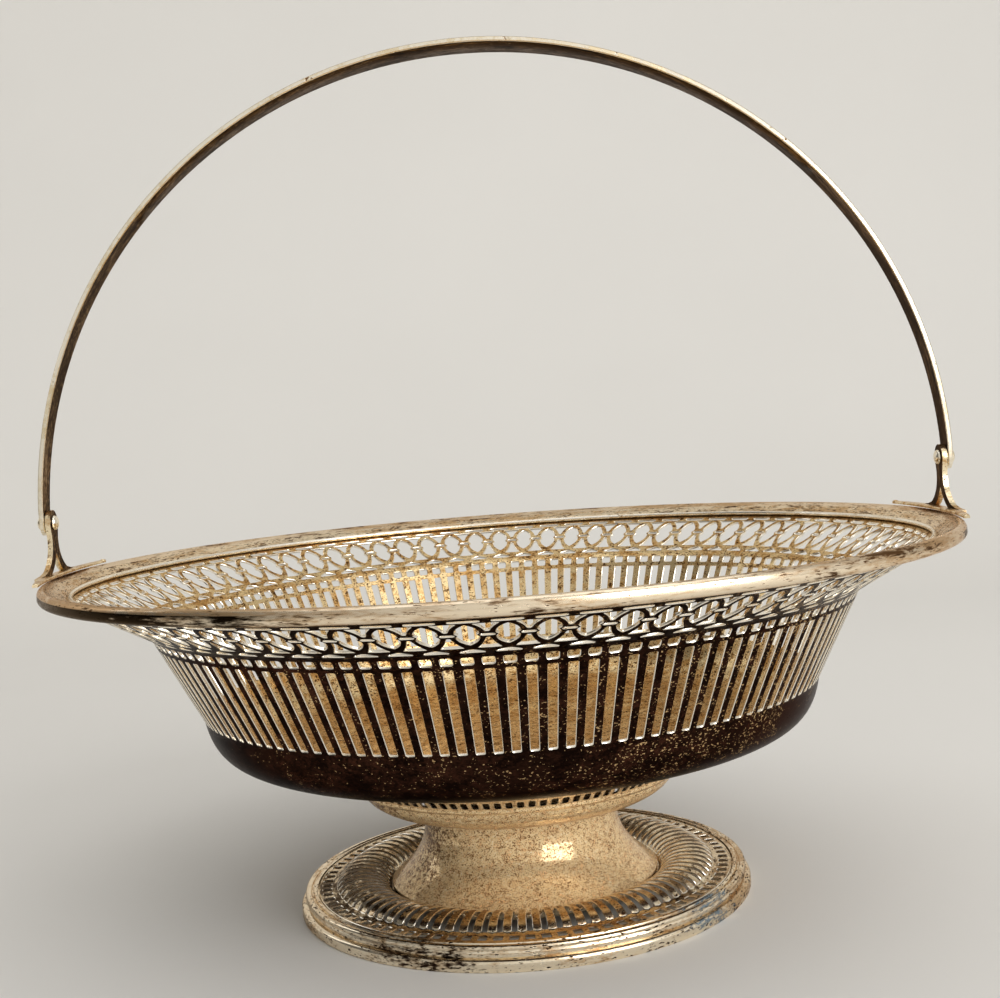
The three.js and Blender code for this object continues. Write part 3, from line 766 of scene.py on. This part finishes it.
def foot_outline():
    half = foot_cell / 2
    return [*[(-half, -y) for y in reversed(reaches)], *[(half, -y) for y in reaches]]


def foot_slot():
    inner, outer = first_slot_reach, last_slot_reach
    levels = [y for y in reaches if inner + 0.4 < y < outer - 0.4]
    side = []
    for y in levels:
        share = (y - inner) / (outer - inner)
        side.append((0.92 - 0.2 * share, -y))
    return mirrored([(0.35, -inner), (0.8, -inner - 0.3), *side, (0.62, -outer + 0.3), (0.3, -outer)])


dash_radius = 62.7
dash_reach = reaches[-1] - ring_edge + dash_radius
dash = rounded_box(width=2.2, height=2.9, corner=0.3, centre=(0, -dash_reach), steps=1)
foot_ring = fill_cell("foot_sheet", foot_outline(), [foot_slot(), dash])
roll_cells(foot_ring, foot_line, foot_count, foot_cell)
weld(foot_ring, 0.01)
dress(foot_ring, ring_plate_shaded_left, rubbed_and_highlit_edge)
thicken(foot_ring, 0.7, material_offset_rim=1)
bevel_cut_edges(foot_ring, 1)
report(foot_ring)

# %% [markdown]
# ## The foot border, the stem and the collar
# These are spun shapes. The border has a bead, a step and a rounded base edge. The stem is a thin
# trumpet. The collar is a lip, a band pierced with small dashes, a bead and a cove, so its band is
# drawn as a cell and the rest is spun round it.

# %% Foot border
base_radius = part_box("foot_border")[1].x / MM
inner_radius = base_radius - 6.5
border_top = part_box("foot_border")[1].z / MM
border_section = [
    (inner_radius, 0),
    *arc((base_radius - 0.6, 0.6), 0.6, -90, 0, 3),
    *arc((base_radius - 1.3, 2.3), 1.3, 10, 85, 5),
    (base_radius - 1.9, 3.75),
    (base_radius - 1.95, 4.6),
    (base_radius - 1.5, 4.9),
    *arc((base_radius - 2.5, border_top - 1.0), 1.0, -35, 165, 8),
    (base_radius - 3.8, border_top - 0.75),
    (base_radius - 4.1, border_top - 0.15),
    (base_radius - 4.9, border_top),
    (base_radius - 5.2, border_top - 0.3),
    (base_radius - 5.2, border_top - 1.5),
    (inner_radius, border_top - 1.6),
]
foot_border = spin_section("foot_moulding", border_section, 176, closed=True)
dress(foot_border, foot_plate)
report(foot_border)

# %% Stem
stem_low, stem_high = (corner.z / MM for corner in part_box("stem"))
lip_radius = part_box("stem")[1].x / MM
neck_radius = 30.4
stem_wall = 0.9
flare_foot = stem_low + 0.8
flare_height = 19
flare_steps = 24
flare = []
for i in range(flare_steps + 1):
    down = 1 - i / flare_steps
    flare.append((
        neck_radius + (lip_radius - neck_radius) * down ** 2.2, flare_foot + flare_height * (1 - down)))
stem_section = [
    (lip_radius - 0.9, stem_low),
    (lip_radius - 0.15, stem_low + 0.05),
    (lip_radius, stem_low + 0.4),
    *flare,
    (neck_radius, stem_high),
    (neck_radius - stem_wall, stem_high),
    *[(radius - stem_wall, height - 0.2) for radius, height in reversed(flare)],
]
stem = spin_section("stem_trumpet", stem_section, 144, closed=True)
dress(stem, brown_plate_shaded_left)
report(stem)

# %% Collar
collar_count = 104
collar_cell = 3.2
collar_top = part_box("collar")[1].z / MM - 0.3
band_line = [(55.0, collar_top - 0.75), (51.7, collar_top - 4.1)]
band_length = math.dist(*band_line)
half_cell = collar_cell / 2
dash = rounded_box(width=1.9, height=3.1, corner=0.35, centre=(0, -band_length / 2), steps=1)
band = fill_cell("collar_band", [
    (-half_cell, 0), (0, 0), (half_cell, 0),
    (half_cell, -band_length), (0, -band_length), (-half_cell, -band_length)], [dash])
roll_cells(band, band_line, collar_count, collar_cell)
neck = neck_radius + 0.75
cove_top = collar_top - 5.9
cove_width = 49.3 - neck
cove_slope = 0.44
cove = [(neck + cove_width * math.cos(a), cove_top - cove_width * cove_slope * math.sin(a))
        for a in (math.pi / 2 * k / 10 for k in range(11))]
lip = spin_section("collar_lip", [
    (54.6, collar_top), (55.6, collar_top), (55.9, collar_top - 0.3), (55.5, collar_top - 0.65),
    band_line[0]], collar_count * 2)
bead_and_cove = spin_section("collar_cove", [
    band_line[1], (51.75, collar_top - 4.4), (51.8, collar_top - 4.9), (51.2, collar_top - 5.5),
    (50.2, collar_top - 5.7), *cove], collar_count * 2)
collar = join(band, lip, bead_and_cove)
collar.name = "collar_moulding"
weld(collar, 0.02)
dress(collar, brown_plate_shaded_left, rubbed_and_highlit_edge)
thicken(collar, 0.55, material_offset_rim=1)
report(collar)

# %% [markdown]
# ## The handle
# The handle is a flat strap, 8 mm wide at the pivots and 15 mm wide at the top, with a flat inner face,
# a slightly crowned outer face and rounded ends. Its section is spun through half a turn, the strap is
# widened towards the top, as it was when forged, and its ends are extruded down past the pivots, where
# they narrow to a round.

# %% Handle
pivot = Vector(frame["joints"][0]["pos_m"])
pivot_height = pivot.z / MM
packed_edge = 1.5
packed_crown = 2.1
spring_drop = 3.3
handle_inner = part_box("handle")[1].x / MM - packed_edge
strap_end = 7.8
strap_middle = 15.0
tongue_thickness = 1.55
spring_height = pivot_height - spring_drop
arch_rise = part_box("handle")[1].z / MM - packed_crown - spring_height
straight_top = pivot_height + 4.2
print("handle's inner face at", round(handle_inner, 2), "mm, rise", round(arch_rise, 1), "mm")


def strap_section():
    half = strap_end / 2
    return [(0, -half + 0.25), (0, half - 0.25), (0.25, half), (1.2, half), (1.55, half - 0.35),
            (1.85, half * 0.55), (1.98, half * 0.2), (1.98, -half * 0.2), (1.85, -half * 0.55),
            (1.55, -half + 0.35), (1.2, -half), (0.25, -half)]


arch_steps = 112
spring = math.asin((straight_top - spring_height) / arch_rise)
spin_radius = handle_inner / math.cos(spring)
handle = draw_section("handle_strap", [millimetres(
    (spin_radius + out) * math.cos(spring), y, spring_height + (spin_radius + out) * math.sin(spring))
    for out, y in strap_section()])
bpy.ops.mesh.spin(steps=arch_steps, angle=math.pi - 2 * spring, center=millimetres(0, 0, spring_height),
                  axis=(0, 1, 0))
merge_doubles()
leave_edit()
turn_to_top = 87
for vertex in handle.data.vertices:
    place = vertex.co / MM
    height = place.z - spring_height
    turn = math.degrees(math.atan2(height, abs(place.x)))
    widening = (strap_middle - strap_end) * (turn - math.degrees(spring)) / turn_to_top
    vertex.co.y *= (strap_end + widening) / strap_end
    stretch = 1 + (arch_rise / spin_radius - 1) * math.sin(math.radians(turn))
    vertex.co.z = (spring_height + height * stretch) * MM
report(handle)


def select_where(piece, test):
    """Select the vertices that pass the test, and leave the piece in edit mode."""
    enter_edit(piece)
    bpy.ops.mesh.select_mode(type="VERT")
    bpy.ops.mesh.select_all(action="DESELECT")
    leave_edit()
    for vertex in piece.data.vertices:
        vertex.select = test(vertex.co / MM)
    enter_edit(piece)


# %% The handle's ends
tongue_turns = (0, 18, 34, 48, 60, 70, 78, 84)
for side in (1, -1):
    select_where(handle, lambda p: p.z < straight_top + 1.0 and p.x * side > 0)
    bpy.ops.mesh.extrude_region_move(
        TRANSFORM_OT_translate={"value": millimetres(0, 0, pivot_height - straight_top)})
    for last, turn in zip(tongue_turns, tongue_turns[1:]):
        drop = strap_end / 2 * (math.sin(math.radians(turn)) - math.sin(math.radians(last)))
        narrow = math.cos(math.radians(turn)) / math.cos(math.radians(last))
        bpy.ops.mesh.extrude_region_move(TRANSFORM_OT_translate={"value": millimetres(0, 0, -drop)})
        bpy.ops.transform.resize(value=(1, narrow, 1), center_override=(0, 0, 0))
    bpy.ops.mesh.edge_face_add()
    leave_edit()
enter_edit(handle)
finish_edit()
for vertex in handle.data.vertices:
    place = vertex.co / MM
    if place.z < straight_top - 1.0:
        side = math.copysign(1, place.x)
        out = min(abs(place.x) - handle_inner, tongue_thickness)
        vertex.co.x = side * (handle_inner + out) * MM
report(handle)

# %% [markdown]
# ## Rivet holes
# Each end of the handle turns on a rivet. A cylinder is placed through the strap and cut away with a
# boolean, which is the plain way to make one clean round hole in a thick plate.

# %% Rivet holes
rivet_radius = 1.3
hole_radius = rivet_radius + 0.25
facing_in = -0.9


def cut_hole(piece, side):
    deselect()
    bpy.ops.mesh.primitive_cylinder_add(
        vertices=32, radius=hole_radius * MM, depth=12 * MM, rotation=(0, math.pi / 2, 0),
        location=(side * handle_inner * MM, 0, pivot.z))
    cutter = bpy.context.object
    bpy.ops.object.transform_apply(location=True, rotation=True, scale=True)
    apply_modifier(piece, "BOOLEAN", operation="DIFFERENCE", object=cutter, solver="EXACT")
    bpy.data.objects.remove(cutter)


for side in (1, -1):
    cut_hole(handle, side)
dress(handle, handled_plate, brown_inner_face)
for polygon in handle.data.polygons:
    centre = polygon.center
    outward = Vector((centre.x, 0, centre.z - spring_height * MM)).normalized()
    polygon.material_index = 1 if polygon.normal.dot(outward) < facing_in else 0
report(handle)

# %% [markdown]
# ## The lugs
# A lug is one casting: a rounded head for the rivet, a stem that forks into two legs, and a thin crescent
# saddle that follows the rim, where it is soldered, and ends in two knobs. The fork is drawn flat as an
# outline and given its thickness by an extrusion, the saddle is spun through the few degrees that it
# covers, and boolean unions join them and the knobs. The left lug is the right one turned by half a turn.

# %% Lugs
lug_gap = 0.3
lug_thickness = 1.6
lug_inner = handle_inner - lug_gap - lug_thickness
head_radius = 4.0
saddle_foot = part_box("right_lug")[0].z / MM
outer_side = [(0, pivot_height + head_radius)]
outer_side += [(head_radius * math.sin(a), pivot_height + head_radius * math.cos(a))
               for a in (math.radians(12 * k) for k in range(1, 10))]
outer_side += bezier((3.0, pivot_height - 4.6), (2.7, pivot_height - 8.6), (4.6, saddle_foot + 4.4),
                     (9.8, saddle_foot + 1.9), 12)
outer_side += [(13.5, saddle_foot + 1.15), (19.0, saddle_foot + 0.75), (19.0, saddle_foot)]
fork = [(0, saddle_foot + 7.0), (0.6, saddle_foot + 6.2), (1.5, saddle_foot + 4.9),
        (2.8, saddle_foot + 3.3), (4.4, saddle_foot + 2.0), (6.2, saddle_foot + 0.9), (8.4, saddle_foot)]
outline = mirrored([*outer_side, *reversed(fork)])
lug = draw_section("lug_right", [millimetres(lug_inner, y, z) for y, z in outline])
bpy.ops.mesh.fill(use_beauty=True)
bpy.ops.mesh.select_all(action="SELECT")
bpy.ops.mesh.extrude_region_move(
    TRANSFORM_OT_translate={"value": millimetres(lug_thickness, 0, 0)})
finish_edit()

saddle_half_angle = math.radians(15.5)
saddle_outer = 141.0
saddle_width = 3.6
saddle_height = 0.85
saddle_taper = 0.55
section = [(saddle_outer - saddle_width, 0), (saddle_outer - 0.25, 0), (saddle_outer, 0.25),
           (saddle_outer, saddle_height - 0.3), (saddle_outer - 0.35, saddle_height),
           (saddle_outer - saddle_width + 0.3, saddle_height),
           (saddle_outer - saddle_width, saddle_height - 0.3)]
section = [millimetres(r * math.cos(saddle_half_angle), -r * math.sin(saddle_half_angle), saddle_foot + z)
           for r, z in section]
saddle = draw_section("saddle", section)
bpy.ops.mesh.edge_face_add()
bpy.ops.mesh.spin(steps=24, angle=-2 * saddle_half_angle, center=(0, 0, 0), axis=(0, 0, 1))
merge_doubles()
finish_edit()
for vertex in saddle.data.vertices:
    place = vertex.co / MM
    radius = math.hypot(place.x, place.y)
    share = math.atan2(place.y, place.x) / saddle_half_angle
    taper = 1 - saddle_taper * share ** 2
    radius = saddle_outer - (saddle_outer - radius) * taper
    scale = radius / math.hypot(place.x, place.y)
    vertex.co.x *= scale
    vertex.co.y *= scale
apply_modifier(lug, "BOOLEAN", operation="UNION", object=saddle, solver="EXACT")
bpy.data.objects.remove(saddle)
knob_radius = 1.05
knob_flatness = 0.55
knob_height = saddle_foot + 0.62
knob_from_axis = 139.9
knob_inset = 0.008
for side in (-1, 1):
    deselect()
    angle = side * (saddle_half_angle - knob_inset)
    bpy.ops.mesh.primitive_uv_sphere_add(
        segments=16, ring_count=8, radius=knob_radius * MM,
        location=millimetres(knob_from_axis * math.cos(angle), knob_from_axis * math.sin(angle), knob_height))
    knob = bpy.context.object
    bpy.ops.transform.resize(value=(1, 1, knob_flatness))
    bpy.ops.object.transform_apply(location=True, rotation=True, scale=True)
    apply_modifier(lug, "BOOLEAN", operation="UNION", object=knob, solver="EXACT")
    bpy.data.objects.remove(knob)
cut_hole(lug, 1)
lug.data.materials.clear()
dress(lug, lug_plate, brown_inner_face)
for polygon in lug.data.polygons:
    above_saddle = polygon.center.z / MM > saddle_foot + saddle_height
    polygon.material_index = 1 if polygon.normal.x < facing_in and above_saddle else 0
report(lug)

# %% [markdown]
# ## The rivets
# A rivet is a shank with a low dome hammered over at each end. Its section is spun round the X axis.

# %% Rivets
seat_gap = 0.2
inner_seat = lug_inner - seat_gap
outer_seat = handle_inner + tongue_thickness + seat_gap
dome_radius = 2.3
dome_height = 1.3
dome = [(dome_radius * math.cos(a), dome_height * math.sin(a))
        for a in (math.radians(90 * k / 7) for k in range(8))]
rivet_section = [
    *[(inner_seat - h, r) for r, h in reversed(dome)],
    (inner_seat, rivet_radius), (outer_seat, rivet_radius),
    *[(outer_seat + h, r) for r, h in dome]]
rivet_section = [millimetres(x, 0, pivot_height + max(r, 0)) for x, r in rivet_section]
rivet = draw_section("rivet_right", rivet_section, closed=False)
bpy.ops.mesh.spin(steps=28, angle=2 * math.pi, center=millimetres(0, 0, pivot_height), axis=(1, 0, 0))
merge_doubles()
finish_edit()
dress(rivet, handled_plate)
report(rivet)


def turned_copy(piece, name):
    """The same piece on the other side of the basket, with a mesh of its own."""
    pick(piece)
    bpy.ops.object.duplicate()
    twin = bpy.context.object
    twin.name = name
    twin.data = twin.data.copy()
    twin.data.transform(Matrix.Rotation(math.pi, 4, "Z"))
    return twin


lug_left = turned_copy(lug, "lug_left")
rivet_left = turned_copy(rivet, "rivet_left")

# %% [markdown]
# ## Putting the pieces on their bodies
# Everything but the handle rides on the basket. Each piece stands for its node of the imported model.

# %% Bodies, and the nodes that are replaced; the slot names are listed but not used
placing = [
    (bowl, "basket", "bowl", "bowl"), (rim, "basket", "rim_border", "rim_border"),
    (foot_border, "basket", "foot_border", "foot_border"), (foot_ring, "basket", "foot_ring", "foot_ring"),
    (stem, "basket", "stem", "stem"), (collar, "basket", "collar", "collar"),
    (lug, "basket", "right_lug", "lug"), (lug_left, "basket", "left_lug", "lug"),
    (rivet, "basket", "right_rivet", "rivet"), (rivet_left, "basket", "left_rivet", "rivet"),
    (handle, "swing_handle", "handle", "handle"),
]
for piece, body, stands_for, slot_name in placing:
    smooth(piece)
    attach(piece, body)
    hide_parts(stands_for)

# %% [markdown]
# ## Floor and light
# A pale sheet of paper lies under the basket and curves up behind it, so that no edge shows. The
# photograph's main light is a window at the upper right behind the camera, which shows as a bright
# rectangle on the stem. A narrow light from behind on the left draws the handle's edge, and a large weak
# one above lights the inside of the bowl. The room is bright on the window's side and dim on the other,
# so the metal gets pale reflections on the right and dark ones on the left.

# %% Paper
paper_width = 6.0
paper_front = -2.0
curve_start = 0.6
curve_radius = 0.8
paper_top = 2.6
paper_line = [(0, paper_front, 0), (0, curve_start, 0)]
paper_line += [(0, curve_start + curve_radius * math.sin(a), curve_radius - curve_radius * math.cos(a))
               for a in (math.radians(90 * k / 16) for k in range(1, 17))]
paper_line.append((0, curve_start + curve_radius, paper_top))
paper = start_vertex("paper", (-paper_width / 2, paper_front, 0))
draw_on(paper_line)
bpy.ops.mesh.select_all(action="SELECT")
bpy.ops.mesh.extrude_region_move(TRANSFORM_OT_translate={"value": (paper_width, 0, 0)})
merge_doubles()
leave_edit()
# Matt paper: an off white with the faintest clouding
paper_finish, tree, place = start_material("matt_white_paper")
clouding = node(tree, "ShaderNodeTexNoise", {"Vector": place, "Scale": 3.0, "Detail": 3.0}).outputs["Fac"]
tone = node(tree, "ShaderNodeMix", {
    "Factor": clouding, 6: linear("#dddbd7"), 7: linear("#e3e1dd")}, data_type="RGBA").outputs[2]
shader = node(tree, "ShaderNodeBsdfPrincipled", {"Base Color": tone, "Roughness": 0.85})
node(tree, "ShaderNodeOutputMaterial", {"Surface": shader.outputs["BSDF"]})
dress(paper, paper_finish)
smooth(paper)

# %% Lights


def softbox(name, place, size, watts, aim=(0, 0, 0.1)):
    bpy.ops.object.light_add(type="AREA", location=place)
    lamp = bpy.context.object
    lamp.name = name
    lamp.data.shape = "RECTANGLE"
    lamp.data.size, lamp.data.size_y = size
    lamp.data.energy = watts
    lamp.rotation_mode = "QUATERNION"
    lamp.rotation_quaternion = (Vector(aim) - lamp.location).to_track_quat("-Z", "Y")


softbox("window", (0.97, -1.20, 0.71), (1.1, 1.3), 17)
softbox("left", (-1.55, 0.7, 0.9), (0.45, 1.0), 1.3)
softbox("ceiling", (0.0, 0.1, 1.9), (2.2, 1.6), 8)
world = bpy.data.worlds.new("room")
bpy.context.scene.world = world
world.use_nodes = True
tree = world.node_tree
tree.nodes.clear()
# How far a direction points to the window's side, from -1 to 1
towards = node(tree, "ShaderNodeVectorMath", {
    0: node(tree, "ShaderNodeTexCoord").outputs["Generated"], 1: (0.58, -0.77, 0.27)},
    operation="DOT_PRODUCT").outputs["Value"]
strength = node(tree, "ShaderNodeMapRange", {
    "Value": towards, "From Min": -0.4, "From Max": 0.9, "To Min": 0.13, "To Max": 0.95}).outputs["Result"]
background = node(tree, "ShaderNodeBackground", {"Color": linear("#ece9e3"), "Strength": strength})
node(tree, "ShaderNodeOutputWorld", {"Surface": background.outputs["Background"]})
bpy.context.scene.view_settings.view_transform = "Standard"
